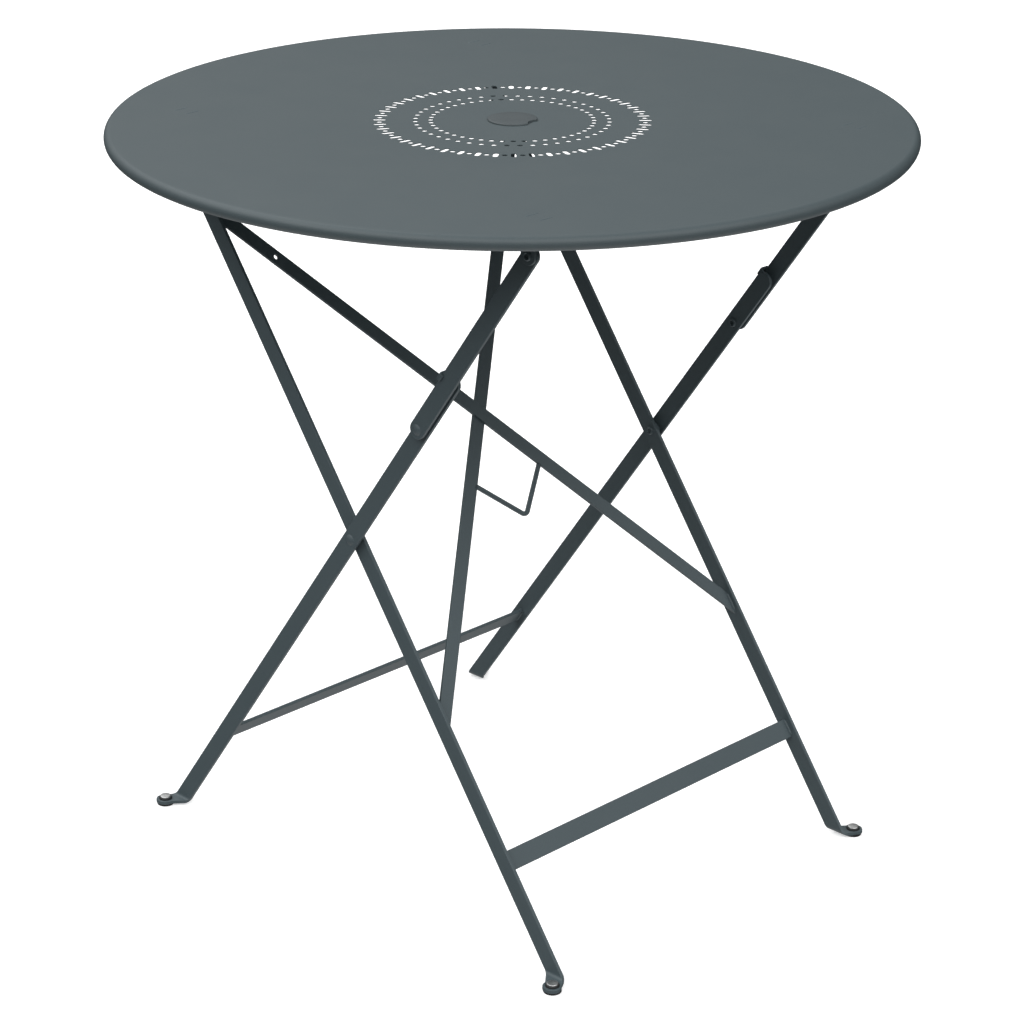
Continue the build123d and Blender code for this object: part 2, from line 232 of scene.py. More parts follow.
def done(piece, body, finish, node=None):
    """Gives a finished piece its body, slot and material, and hides the CAD node that it stands for."""
    fresh()
    piece.data.materials.clear()
    piece.data.materials.append(finish)
    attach(piece, body)
    if node:
        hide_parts(node)
    return piece


def turned(name, outline, foot, along, steps=32):
    """Spins an outline of (radius, height) points round the line that leaves foot along a direction."""
    fresh()
    bpy.ops.mesh.primitive_plane_add(size=MM, location=(0, 0, 0))
    piece = bpy.context.active_object
    edit(piece, "VERT")
    bpy.ops.mesh.select_all(action="SELECT")
    bpy.ops.mesh.merge(type="CENTER")
    bpy.ops.transform.translate(value=(outline[0][0], 0, outline[0][1]))
    for (r0, h0), (r1, h1) in zip(outline, outline[1:]):
        bpy.ops.mesh.extrude_vertices_move(TRANSFORM_OT_translate={"value": (r1 - r0, 0, h1 - h0)})
    bpy.ops.mesh.select_all(action="SELECT")
    bpy.ops.mesh.spin(steps=steps, angle=math.tau, center=(0, 0, 0), axis=(0, 0, 1))
    bpy.ops.mesh.select_all(action="SELECT")
    bpy.ops.mesh.remove_doubles(threshold=SAME_SPOT)
    bpy.ops.mesh.normals_make_consistent(inside=False)
    fresh()
    only(piece)
    piece.rotation_euler = Vector(along).to_track_quat("Z", "Y").to_euler()
    piece.location = foot
    return named(name)


def arc(centre, radius, first, last, steps, squash=1.0):
    """Points of an outline on an arc, angles in degrees from the outline's radius axis."""
    angles = [math.radians(first + (last - first) * step / steps) for step in range(steps + 1)]
    return [(centre[0] + radius * math.cos(a), centre[1] + radius * squash * math.sin(a)) for a in angles]


def dome(radius, height, steps=8):
    """Outline of a rivet head, from its crown to its edge."""
    ball = (radius ** 2 + height ** 2) / (2 * height)
    first = math.degrees(math.acos(radius / ball))
    points = arc((0, height - ball), ball, 90, first, steps)
    return [(0, points[0][1])] + points[1:]


def rolled_tail(outer, bore, height, level, depth):
    """Outline of a rivet's rolled, hollow end, which points down from level."""
    centre, half = ((outer + bore) / 2, level), (outer - bore) / 2
    return arc(centre, half, 0, -180, 8, squash=height / half) + [(bore, level + depth), (0, level + depth)]


# ------------------------------------------------------------------ the top
def at_angle(radius, steps):
    """A point of the top at so many 192nds of a turn."""
    angle = math.tau * steps / (4 * RINGS)
    return Vector((radius * math.cos(angle), radius * math.sin(angle), TOP_Z))


def drawn(name, points):
    """A new piece that is one line through the points."""
    fresh()
    bpy.ops.mesh.primitive_plane_add(size=MM, location=(0, 0, 0))
    piece = bpy.context.active_object
    piece.name = piece.data.name = name
    edit(piece, "VERT")
    bpy.ops.mesh.select_all(action="SELECT")
    bpy.ops.mesh.merge(type="CENTER")
    bpy.ops.transform.translate(value=points[0])
    for a, b in zip(points, points[1:]):
        bpy.ops.mesh.extrude_vertices_move(TRANSFORM_OT_translate={"value": b - a})
    return piece


def spun(piece, angle, steps, dupli=False):
    """Spins everything anticlockwise round Z.  The operator's own angle runs clockwise."""
    bpy.ops.mesh.select_all(action="SELECT")
    bpy.ops.mesh.spin(steps=steps, angle=-angle, center=(0, 0, 0), axis=(0, 0, 1), dupli=dupli)
    fresh()
    return piece


def perforated_band():
    """One sector, filled round its holes, and turned into the whole band."""
    sector_steps = 4
    edge = [at_angle(BAND[0], -2), at_angle(84 * MM, -1), at_angle(BAND[1], -1)]
    band = drawn("band", edge)
    spun(band, math.tau / RINGS, sector_steps)
    edit(band, "FACE")
    bpy.ops.mesh.select_all(action="SELECT")
    bpy.ops.mesh.dissolve_faces()
    bpy.ops.mesh.delete(type="ONLY_FACE")
    holes = [(HOLE_RINGS[0], 0, HOLE_R, 16), (HOLE_RINGS[1], 2, HOLE_R, 16),
             (SLOT_RING, 2, SLOT_RING_HOLE_R, 16)]
    for radius, steps, hole_r, corners in holes:
        bpy.ops.mesh.primitive_circle_add(radius=hole_r, vertices=corners, location=at_angle(radius, steps))
    middle_of_slot = at_angle(SLOT_RING, 0)
    bpy.ops.mesh.primitive_circle_add(radius=SLOT_R, vertices=16, location=middle_of_slot)
    reach = SLOT_LONG / 2 - SLOT_R
    for end in (-1, 1):
        pick(band, "VERT", lambda v: (v.co - middle_of_slot).length < SLOT_R * 1.1
             and end * (v.co.x - SLOT_RING) > SLOT_R * 0.1)
        bpy.ops.transform.translate(value=(end * reach, 0, 0))
    bpy.ops.mesh.select_mode(type="EDGE")
    bpy.ops.mesh.select_all(action="SELECT")
    bpy.ops.mesh.fill(use_beauty=True)
    return spun(band, math.tau * (RINGS - 1) / RINGS, RINGS - 1, dupli=True)


def table_top():
    """Sheet, rolled rim and parasol hole, in one skin that is then given the sheet's thickness."""
    flat_r = TOP_R - RIM_R
    rim = drawn("rim", [Vector((flat_r, 0, TOP_Z))])
    bpy.ops.mesh.spin(steps=22, angle=-RIM_CURL, center=(flat_r, 0, TOP_Z - RIM_R), axis=(0, 1, 0))
    pick(rim, "VERT", lambda v: v.co.z > TOP_Z - 0.01 * MM)
    bpy.ops.mesh.extrude_vertices_move(TRANSFORM_OT_translate={"value": (BAND[1] - flat_r, 0, 0)})
    spun(rim, math.tau, 4 * RINGS)
    hub = spun(drawn("hub", [at_angle(BORE_R, 0), at_angle(BAND[0], 0)]), math.tau, 4 * RINGS)
    band = perforated_band()
    only(rim)
    hub.select_set(True)
    band.select_set(True)
    bpy.ops.object.join()
    top = named("table_top")
    edit(top, "VERT")
    bpy.ops.mesh.select_all(action="SELECT")
    bpy.ops.mesh.remove_doubles(threshold=0.01 * MM)
    bpy.ops.mesh.normals_make_consistent(inside=False)
    mesh = bmesh.from_edit_mesh(top.data)
    flat = max(mesh.faces, key=lambda face: face.calc_center_median().z * face.calc_area())
    if flat.normal.z < 0:
        bpy.ops.mesh.flip_normals()
    only(top)
    sheet = top.modifiers.new("sheet", "SOLIDIFY")
    sheet.thickness, sheet.offset, sheet.use_even_offset = SHEET, -1, True
    bpy.ops.object.modifier_apply(modifier=sheet.name)
    round_off(top, 0.12 * MM, segments=1, angle=60)
    return top


def hole_cap():
    """Moulded cap: a low disc with a soft edge, a finger notch, and a skirt in the parasol hole."""
    low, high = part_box("parasol_cap")
    radius, height, depth = high.x, high.z - TOP_Z, TOP_Z - low.z
    soft, skirt = 1.1 * MM, BORE_R - 0.2 * MM
    outline = [(0, height), (radius * 0.5, height - 0.05 * MM)]
    outline += arc((radius - soft, height - soft), soft, 90, 0, 5)
    outline += [(radius, 0), (skirt, 0), (skirt, -depth + 0.6 * MM), (skirt - 0.6 * MM, -depth)]
    outline += [(skirt - 2 * MM, -depth), (skirt - 2 * MM, 0), (0, 0)]
    cap = turned("hole_cap", outline, (0, 0, TOP_Z), (0, 0, 1), steps=128)
    notch_r, bite, turn = 12 * MM, 4.5 * MM, math.radians(12)
    away = radius + notch_r - bite
    fresh()
    bpy.ops.mesh.primitive_cylinder_add(vertices=64, radius=notch_r, depth=60 * MM,
                                        location=(away * math.cos(turn), away * math.sin(turn), TOP_Z))
    cut(cap, named("notch"))
    round_off(cap, 0.25 * MM, segments=2, angle=50)
    return cap


# ------------------------------------------------------------------ bars
def flat_bar(name, middle_at, size, side):
    """A cube drawn out into a bar that leans as a frame does: size is across, along Y, and up."""
    fresh()
    bpy.ops.mesh.primitive_cube_add(size=1, location=middle_at, rotation=(0, -side * LEAN, 0), scale=size)
    return named(name)


def round_end(piece, end, width):
    """Makes the end of a bar that is nearest to a point a half circle, seen along Y."""
    edit(piece, "EDGE")
    pick(piece, "EDGE", lambda e: abs((e.verts[0].co - e.verts[1].co).normalized().y) > BEVEL_ACROSS
         and ((middle(e) - end) * Vector((1, 0, 1))).length < width * 0.6)
    bpy.ops.mesh.bevel(offset=width * ROUND_END, segments=9, affect="EDGES", clamp_overlap=False)
    bpy.ops.mesh.select_all(action="SELECT")
    bpy.ops.mesh.remove_doubles(threshold=END_SPOT)
    fresh()


def leg(name, side, leg_y, top_at, low_at=None):
    """Near-side bar with a round head; without low_at it runs to the floor and ends in a bent foot."""
    half = BAR_W / 2
    low = 0.0 if low_at is None else low_at - half
    high = top_at + half
    y = -leg_y
    bar = flat_bar(name, on_frame(side, (low + high) / 2, 0, y), (BAR_W, BAR_T, high - low), side)
    round_end(bar, on_frame(side, high, 0, y), BAR_W)
    if low_at is not None:
        round_end(bar, on_frame(side, low, 0, y), BAR_W)
        return bar
    edit(bar)
    bpy.ops.mesh.select_all(action="SELECT")
    bpy.ops.mesh.bisect(plane_co=(0, 0, BEND_Z), plane_no=(0, 0, 1), use_fill=True, clear_inner=True)
    bend_foot(bar, side, y)
    return bar


def bend_foot(bar, side, y):
    """Extrudes the level lower end round the bend, out to the pad, and round the pad."""
    bend_steps, pad_steps = 8, 7
    turn = math.pi / 2 / bend_steps
    drift = side * math.tan(LEAN)                   # the bar keeps its lean as it comes round
    axis = Vector((0, y - FOOT_BEND, BEND_Z))
    pick(bar, "FACE", lambda f: f.normal.z < -0.9 and middle(f).z < BEND_Z + 0.1 * MM)
    for _ in range(bend_steps):
        bpy.ops.mesh.extrude_region_move(
            TRANSFORM_OT_translate={"value": (drift * FOOT_BEND * turn, 0, 0)})
        bpy.ops.transform.rotate(value=turn, orient_axis="X", center_override=axis)
    bend_end = side * (FOOT_X - BEND_Z * math.tan(LEAN)) + drift * FOOT_BEND * math.pi / 2
    pad = Vector((bend_end + drift * PAD_REACH, y - FOOT_BEND - PAD_REACH, GLIDE_H + BAR_T / 2))
    width = BAR_W / 2 / math.cos(LEAN)
    bpy.ops.mesh.extrude_region_move(
        TRANSFORM_OT_translate={"value": (drift * PAD_REACH, -PAD_REACH, 0)})
    bpy.ops.transform.resize(value=(PAD_R / width, 1, 1), center_override=pad)
    for step in range(pad_steps):
        a, b = (math.radians(86) * s / pad_steps for s in (step, step + 1))
        out = PAD_R * (math.sin(b) - math.sin(a))
        bpy.ops.mesh.extrude_region_move(TRANSFORM_OT_translate={"value": (0, -out, 0)})
        bpy.ops.transform.resize(value=(math.cos(b) / math.cos(a), 1, 1), center_override=pad)
    fresh()


def heel_hook(name):
    """Tab on the outer leg's heel, bent round the strut's edge, with a short lip on its face."""
    inside = HOOK_GAP + BAR_W / 2                   # across the frame, to the wall's inner face
    wall = -inside - HOOK_T / 2
    base, lip = -OUTER_Y, -STRUT_Y - BAR_T / 2 - HOOK_GAP - HOOK_T / 2
    bend = 1.9 * MM                                 # centre-line radius of both bends
    up, across = up_frame(OUTER), across_frame(OUTER)
    low = KNEE_AT + HOOK_FROM
    start = on_frame(OUTER, low + HOOK_LENGTH / 2, -BAR_W / 4, base)
    hook = flat_bar(name, start, (1 * MM, HOOK_T, HOOK_LENGTH), OUTER)
    edit(hook)
    pick(hook, "FACE", lambda f: f.normal.dot(across) < -0.9)

    def run(value):
        bpy.ops.mesh.extrude_region_move(TRANSFORM_OT_translate={"value": value})

    run(across * (wall + bend + BAR_W / 4 + 0.5 * MM))
    curl(on_frame(OUTER, low, wall + bend, base - bend), up)
    run(Vector((0, lip + bend - (base - bend), 0)))
    curl(on_frame(OUTER, low, wall + bend, lip + bend), up)
    run(across * (HOOK_LIP + inside - BAR_W / 2 - HOOK_GAP + HOOK_T / 2 - bend))
    fresh()
    return hook


def crossbar(name, side, at, leg_y):
    """Flat bar between two legs, its faces in the plane of the frame."""
    length = 2 * leg_y - BAR_T
    return flat_bar(name, on_frame(side, at), (BAR_T, length, CROSSBAR_W), side)


def diagonal(name, lift, slope):
    """Flat bar across the inner frame; slope 1 rises to the far side.  Bisects make its mitres."""
    reach = INNER_Y - BAR_T / 2
    rise = (HINGE_AT - BRACE_HEAD_BELOW - BRACE_FOOT) * slope
    length = math.hypot(rise, 2 * reach) + BRACE_W * 2
    tilt = math.atan2(rise, 2 * reach)
    centre_at = (HINGE_AT - BRACE_HEAD_BELOW + BRACE_FOOT) / 2
    out = -across_frame(INNER)                      # the frame's upper face
    fresh()
    bpy.ops.mesh.primitive_cube_add(size=1, location=(0, 0, 0), scale=(BRACE_T, length, BRACE_W))
    bar = named(name)
    leaning = Matrix.Rotation(-LEAN, 4, "Y") @ Matrix.Rotation(tilt, 4, "X")
    bar.matrix_world = Matrix.Translation(on_frame(INNER, centre_at) + out * lift) @ leaning
    only(bar)
    bar = named(name)
    for end in (-1, 1):
        edit(bar)
        bpy.ops.mesh.select_all(action="SELECT")
        bpy.ops.mesh.bisect(plane_co=(0, end * reach, 0), plane_no=(0, end, 0), use_fill=True,
                            clear_outer=True)
        fresh()
    return bar


def diagonal_at(y, slope):
    """Distance up the frame of a diagonal's middle line."""
    rise = HINGE_AT - BRACE_HEAD_BELOW - BRACE_FOOT
    return (HINGE_AT - BRACE_HEAD_BELOW + BRACE_FOOT) / 2 + slope * y * rise / (2 * INNER_Y - BAR_T)


def storage_hole(bar):
    across_y, radius = STORE_HOLE
    place = on_frame(INNER, diagonal_at(-across_y, -1), 0, -across_y)
    fresh()
    bpy.ops.mesh.primitive_cylinder_add(vertices=24, radius=radius, depth=40 * MM, location=place,
                                        rotation=(0, math.pi / 2 - LEAN, 0))
    cut(bar, named("drill"))


def storage_wire():
    """Round wire bent to a V, its ends welded under the two diagonals."""
    rise = (HINGE_AT - BRACE_HEAD_BELOW - BRACE_FOOT) / (2 * INNER_Y - BAR_T)
    edge = BRACE_W / 2 * math.hypot(1, rise)
    end_at = diagonal_at(-WIRE_HALF_SPAN, 1) - edge
    up, y = up_frame(INNER), Vector((0, 1, 0))
    down = (y - up).normalized()                    # from the near end towards the point
    point = on_frame(INNER, end_at - WIRE_HALF_SPAN)
    first = on_frame(INNER, end_at, 0, -WIRE_HALF_SPAN) - down * 1.5 * MM
    tangent = point - down * WIRE_BEND              # a right angle, so the run-out is the radius
    centre = tangent + (up + y).normalized() * WIRE_BEND
    fresh()
    bpy.ops.mesh.primitive_circle_add(radius=WIRE_R, vertices=16, fill_type="NGON", location=first,
                                      rotation=down.to_track_quat("Z", "Y").to_euler())
    wire = named("storage_wire")
    edit(wire)
    bpy.ops.mesh.select_all(action="SELECT")
    bpy.ops.mesh.extrude_region_move(TRANSFORM_OT_translate={"value": tangent - first})
    curl(centre, y.cross(up), steps=12)
    run = (tangent - first).length
    bpy.ops.mesh.extrude_region_move(TRANSFORM_OT_translate={"value": (y + up).normalized() * run})
    bpy.ops.mesh.select_all(action="SELECT")
    bpy.ops.mesh.normals_make_consistent(inside=False)
    fresh()
    return wire


def bracket(name, node):
    """Strip bent to an angle: a round-ended ear for the rivet, and a flange welded to the sheet."""
    low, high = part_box(node)
    width, reach = high.x - low.x, high.y - low.y
    centre_x = (low.x + high.x) / 2
    fresh()
    bpy.ops.mesh.primitive_cube_add(size=1, location=(centre_x, low.y + EAR_T / 2, (low.z + high.z) / 2),
                                    scale=(width, EAR_T, high.z - low.z))
    ear = named(name)
    edit(ear, "EDGE")
    pick(ear, "EDGE", lambda e: abs((e.verts[0].co - e.verts[1].co).normalized().y) > BEVEL_ACROSS
         and middle(e).z < low.z + MM)
    bpy.ops.mesh.bevel(offset=width * ROUND_END, segments=9, affect="EDGES", clamp_overlap=False)
    bpy.ops.mesh.select_all(action="SELECT")
    bpy.ops.mesh.remove_doubles(threshold=END_SPOT)
    bpy.ops.mesh.bisect(plane_co=(0, 0, high.z - EAR_T), plane_no=(0, 0, 1))
    pick(ear, "FACE", lambda f: f.normal.y > 0.9 and middle(f).z > high.z - EAR_T)
    bpy.ops.mesh.extrude_region_move(TRANSFORM_OT_translate={"value": (0, reach - EAR_T, 0)})
    pick(ear, "EDGE", lambda e: abs((e.verts[0].co - e.verts[1].co).normalized().x) > BEVEL_ACROSS
         and middle(e).z > high.z - 0.1 * MM and middle(e).y < low.y + 0.1 * MM)
    bpy.ops.mesh.bevel(offset=3.4 * MM, segments=5, affect="EDGES")
    fresh()
    return ear


# ------------------------------------------------------------------ rivets, feet and welds
RIVET_R, RIVET_H = 5.5 * MM, 2.0 * MM
TAIL_R, TAIL_BORE_R, TAIL_H = 4.5 * MM, 2.1 * MM, 1.8 * MM
SHANK_R = 3.0 * MM
BORE_DEPTH = 5.5 * MM                   # how far in the hollow end is open


def rivet(name, node, out, head=True, tail=True):
    """Semi-tubular rivet: out is the way, in Y, that its head points."""
    low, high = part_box(node)
    foot = (low + high) / 2
    length = high.y - low.y
    head_h = RIVET_H if head else 0
    tail_h = TAIL_H if tail else 0
    grip = length - head_h - tail_h
    face = high.y - head_h if out > 0 else low.y + head_h
    foot.y = face
    outline = dome(RIVET_R, RIVET_H) if head else [(0, 0)]
    outline += [(SHANK_R, 0), (SHANK_R, -grip)]
    outline += rolled_tail(TAIL_R, TAIL_BORE_R, TAIL_H, -grip, BORE_DEPTH) if tail else [(0, -grip)]
    return turned(name, outline, foot, (0, out, 0))


def bottom_of(low, high):
    """The middle of a box's underside."""
    return Vector(((low.x + high.x) / 2, (low.y + high.y) / 2, low.z))


def glide(name, node):
    low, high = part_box(node)
    radius = (high.x - low.x) / 2
    edge = 0.9 * MM
    outline = [(0, 0.25 * MM), (radius * 0.45, 0.25 * MM), (radius * 0.55, 0), (radius - edge, 0)]
    outline += arc((radius - edge, edge), edge, -90, 0, 4)[1:]
    outline += [(radius, high.z - low.z), (0, high.z - low.z)]
    return turned(name, outline, bottom_of(low, high), (0, 0, 1), steps=40)


def collar(name, node):
    low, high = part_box(node)
    radius, height = (high.x - low.x) / 2, high.z - low.z
    edge = 0.7 * MM
    outline = [(2.5 * MM, 0), (radius, 0)] + arc((radius - edge, height - edge), edge, 0, 90, 4)
    outline += [(2.5 * MM, height), (2.5 * MM, 0)]
    return turned(name, outline, bottom_of(low, high), (0, 0, 1), steps=40)


def foot_rivet(name, node):
    """Low crowned head with a rounded edge, on a shank through collar, pad and glide."""
    low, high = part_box(node)
    radius, head, edge = (high.x - low.x) / 2, 2.0 * MM, 1.0 * MM
    height = high.z - low.z
    outline = [(0, height), (radius * 0.4, height - 0.06 * MM), (radius - edge, height - 0.25 * MM)]
    outline += arc((radius - edge, height - 0.25 * MM - edge), edge, 78, 0, 4)
    outline += [(radius, height - head), (2.4 * MM, height - head), (2.4 * MM, 0), (0, 0)]
    return turned(name, outline, bottom_of(low, high), (0, 0, 1), steps=40)


def weld(name, first, last):
    """A short run of weld: a bead with a ripple every millimetre and a half."""
    length = (last - first).length
    ripples = max(3, round(length / (1.5 * MM)))
    outline = [(0, 0)]
    for step in range(2 * ripples + 1):
        share = step / (2 * ripples)
        taper = min(1, 4 * share + 0.35, 4 * (1 - share) + 0.35)
        outline.append((WELD_R * taper * (0.86 if step % 2 else 1.0), length * share))
    outline.append((0, length))
    bead = turned(name, outline, first, last - first, steps=12)
    only(bead)
    bpy.ops.object.shade_smooth()
    return bead


# ------------------------------------------------------------------ materials
def linear(colour):
    """Linear colour of an sRGB hex value."""
    parts = [int(colour[place:place + 2], 16) / 255 for place in (1, 3, 5)]
    return [c / 12.92 if c <= 0.04045 else ((c + 0.055) / 1.055) ** 2.4 for c in parts] + [1.0]


def per_mm(size):
    """Texture scale that gives features of so many millimetres."""
    return 1 / (size * MM)


def add(tree, kind, inputs=None, **settings):
    """Adds a node; an input takes a value or another node's output."""
    made = tree.nodes.new(kind)
    for name, value in settings.items():
        setattr(made, name, value)
    for name, value in (inputs or {}).items():
        if isinstance(value, bpy.types.NodeSocket):
            tree.links.new(value, made.inputs[name])
        else:
            made.inputs[name].default_value = value
    return made


def ranged(tree, value, from_low, from_high, to_low, to_high):
    """A value carried from one range to another."""
    return add(tree, "ShaderNodeMapRange", {"Value": value, "From Min": from_low, "From Max": from_high,
                                            "To Min": to_low, "To Max": to_high})


def mixed(tree, share, low, high):
    """A colour between two hex values."""
    return add(tree, "ShaderNodeMix", {"Factor": share, "A": linear(low), "B": linear(high)},
               data_type="RGBA")


def blank(name):
    material = bpy.data.materials.new(name)
    material.use_nodes = True
    tree = material.node_tree
    tree.nodes.clear()
    place = add(tree, "ShaderNodeTexCoord").outputs["Object"]
    return material, tree, place


def surface(tree, **inputs):
    names = {key.replace("_", " "): value for key, value in inputs.items()}
    shader = add(tree, "ShaderNodeBsdfPrincipled", names)
    add(tree, "ShaderNodeOutputMaterial", {"Surface": shader.outputs[0]})


def powder_coat(name, body, light):
    """Fine-textured polyester powder coat, sprayed dry and baked: matt, slightly sandy, and evenly slate."""
    material, tree, place = blank(name)
    # the baked film is a touch thicker and paler in slow patches, a few centimetres across
    patches = add(tree, "ShaderNodeTexNoise", {"Vector": place, "Scale": per_mm(45), "Detail": 2.0})
    # sand grain: really about 0.3 mm, drawn at 0.8 mm so that it still shows from across a room
    grain = add(tree, "ShaderNodeTexNoise", {"Vector": place, "Scale": per_mm(0.8), "Detail": 3.0,
                                             "Roughness": 0.6})
    tone = mixed(tree, patches.outputs["Fac"], body, light)
    speck = ranged(tree, grain.outputs["Fac"], 0.35, 0.65, 0.93, 1.07)
    colour = add(tree, "ShaderNodeVectorMath", {0: tone.outputs["Result"], "Scale": speck.outputs["Result"]},
                 operation="SCALE")
    gloss = ranged(tree, grain.outputs["Fac"], 0.3, 0.7, 0.47, 0.57)
    # orange peel, where the film flowed before it set
    peel = add(tree, "ShaderNodeTexNoise", {"Vector": place, "Scale": per_mm(3.5), "Detail": 1.0})
    waves = add(tree, "ShaderNodeBump", {"Height": peel.outputs["Fac"], "Strength": 0.25,
                                         "Distance": 0.04 * MM})
    sand = add(tree, "ShaderNodeBump", {"Height": grain.outputs["Fac"], "Normal": waves.outputs["Normal"],
                                        "Strength": 0.45, "Distance": 0.05 * MM})
    surface(tree, Base_Color=colour.outputs["Vector"], Roughness=gloss.outputs["Result"],
            Normal=sand.outputs["Normal"], IOR=1.5)
    return material


def moulded_nylon(name):
    """Injection-moulded nylon with a spark-eroded skin: satin, a little darker than the coat round it."""
    material, tree, place = blank(name)
    skin = add(tree, "ShaderNodeTexVoronoi", {"Vector": place, "Scale": per_mm(0.7)}, feature="SMOOTH_F1")
    flow = add(tree, "ShaderNodeTexNoise", {"Vector": place, "Scale": per_mm(18), "Detail": 2.0})
    tone = mixed(tree, flow.outputs["Fac"], "#434B4E", "#4A5356")
    pits = add(tree, "ShaderNodeBump", {"Height": skin.outputs["Distance"], "Strength": 0.35,
                                        "Distance": 0.03 * MM})
    surface(tree, Base_Color=tone.outputs["Result"], Roughness=0.5, Normal=pits.outputs["Normal"], IOR=1.53)
    return material


def bare_aluminium(name):
    """Upset aluminium rivet head, tumbled after heading: bright, with fine rubbed scratches."""
    material, tree, place = blank(name)
    stretched = add(tree, "ShaderNodeMapping", {"Vector": place, "Scale": (1, 0.08, 1),
                                                "Rotation": (0, 0, 0.6)})
    rubbed = add(tree, "ShaderNodeTexNoise", {"Vector": stretched.outputs["Vector"], "Scale": per_mm(0.25),
                                              "Detail": 4.0})
    dull = add(tree, "ShaderNodeTexNoise", {"Vector": place, "Scale": per_mm(2.5), "Detail": 3.0})
    tone = mixed(tree, dull.outputs["Fac"], "#A9ABAB", "#D8D9D8")
    rough = ranged(tree, rubbed.outputs["Fac"], 0.3, 0.7, 0.28, 0.46)
    marks = add(tree, "ShaderNodeBump", {"Height": rubbed.outputs["Fac"], "Strength": 0.3,
                                         "Distance": 0.01 * MM})
    surface(tree, Base_Color=tone.outputs["Result"], Metallic=1.0, Roughness=rough.outputs["Result"],
            Normal=marks.outputs["Normal"])
    return material


def black_rubber(name):
    """Moulded black glide: matt, faintly mottled, with a dry bloom where it flexes."""
    material, tree, place = blank(name)
    mottle = add(tree, "ShaderNodeTexNoise", {"Vector": place, "Scale": per_mm(2.0), "Detail": 4.0})
    tone = mixed(tree, mottle.outputs["Fac"], "#141516", "#26282A")
    skin = add(tree, "ShaderNodeBump", {"Height": mottle.outputs["Fac"], "Strength": 0.3,
                                        "Distance": 0.04 * MM})
    surface(tree, Base_Color=tone.outputs["Result"], Roughness=0.72, Normal=skin.outputs["Normal"], IOR=1.52)
    return material


# The top and the frame wear one paint. The top's copy is a shade darker and the frame's a shade lighter:
# painted shade on the top and painted light on the frame, which even out how the studio lights each of them.
SHADED_TOP_COAT = powder_coat("sand_powder_coat_top_painted_shade", "#495559", "#4E595C")
LIT_FRAME_COAT = powder_coat("sand_powder_coat_frame_painted_light", "#4B585D", "#505C60")
CAP_NYLON = moulded_nylon("moulded_nylon_cap")
RIVET_ALUMINIUM = bare_aluminium("tumbled_aluminium_rivet")
GLIDE_RUBBER = black_rubber("moulded_black_rubber")

# ------------------------------------------------------------------ the pieces
done(table_top(), "tabletop", SHADED_TOP_COAT, "tabletop")
done(hole_cap(), "parasol_cap", CAP_NYLON, "parasol_cap")


def coated(piece, body, node=None):
    round_off(piece, POWDER_EDGE)
    return done(piece, body, LIT_FRAME_COAT, node)


def coated_pair(make, name, body, node=None):
    """The near piece and its copy on the far side; body may differ from side to side."""
    near = make(f"{name}_near")
    far = other_side(near, f"{name}_far")
    for piece, side in ((near, "near"), (far, "far")):
        coated(piece, body.format(side), f"{node}_{side}" if node else None)


coated_pair(lambda name: leg(name, INNER, INNER_Y, HINGE_AT), "inner_bar", "inner_legs", "inner_leg")
coated_pair(lambda name: leg(name, OUTER, OUTER_Y, KNEE_AT + HOOK_FROM),
            "outer_bar", "outer_legs", "outer_leg")
coated_pair(lambda name: leg(name, OUTER, STRUT_Y, HINGE_AT, KNEE_AT), "strut_bar", "strut_{}", "strut")


coated_pair(heel_hook, "heel_hook", "outer_legs")
inner_at = (sum(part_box("inner_crossbar"), Vector()) / 2).z / math.cos(LEAN)
outer_at = (sum(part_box("outer_crossbar"), Vector()) / 2).z / math.cos(LEAN)
coated(crossbar("inner_stretcher", INNER, inner_at, INNER_Y), "inner_legs", "inner_crossbar")
coated(crossbar("outer_stretcher", OUTER, outer_at, OUTER_Y), "outer_legs", "outer_crossbar")
front = diagonal("front_diagonal", -BRACE_T / 2, -1)
storage_hole(front)
coated(front, "inner_legs", "front_brace")
coated(diagonal("rear_diagonal", BRACE_T / 2, 1), "inner_legs", "rear_brace")
wire = storage_wire()
smooth(wire, 50)
done(wire, "inner_legs", LIT_FRAME_COAT, "wire_loop")
coated_pair(lambda name: bracket(name, "leg_bracket_near"), "leg_ear", "tabletop", "leg_bracket")
coated_pair(lambda name: bracket(name, "strut_bracket_near"), "strut_ear", "tabletop", "strut_bracket")

for place, side in SIDES.items():
    rivets = (("leg_pivot_rivet", "tabletop", -side, True, True),
              ("strut_pivot_rivet", "tabletop", -side, True, True),
              ("knee_rivet", f"strut_{place}", side, True, True),
              ("scissor_rivet_head", "outer_legs", side, True, False),
              ("scissor_rivet_tail", "inner_legs", side, False, True))
    for node, body, out, head, tail in rivets:
        piece = rivet(f"{node}_turned_{place}", f"{node}_{place}", out, head, tail)
        smooth(piece, 45)
        done(piece, body, LIT_FRAME_COAT, f"{node}_{place}")
    for legs in ("inner", "outer"):
        feet = ((glide, "foot_glide", "glide_rubber", GLIDE_RUBBER),
                (collar, "foot_collar", "glide_rubber", GLIDE_RUBBER),
                (foot_rivet, "foot_rivet", "bare_rivet", RIVET_ALUMINIUM))
        for make, part, slot, finish in feet:
            node = f"{legs}_{part}_{place}"
            piece = make(f"{node}_turned", node)
            smooth(piece, 45)
            done(piece, f"{legs}_legs", finish, node)
    for node in (f"knee_spacer_{place}", f"scissor_spacer_{place}"):
        spacer = frame["nodes"][node]
        for slot in spacer.material_slots:
            slot.material = LIT_FRAME_COAT

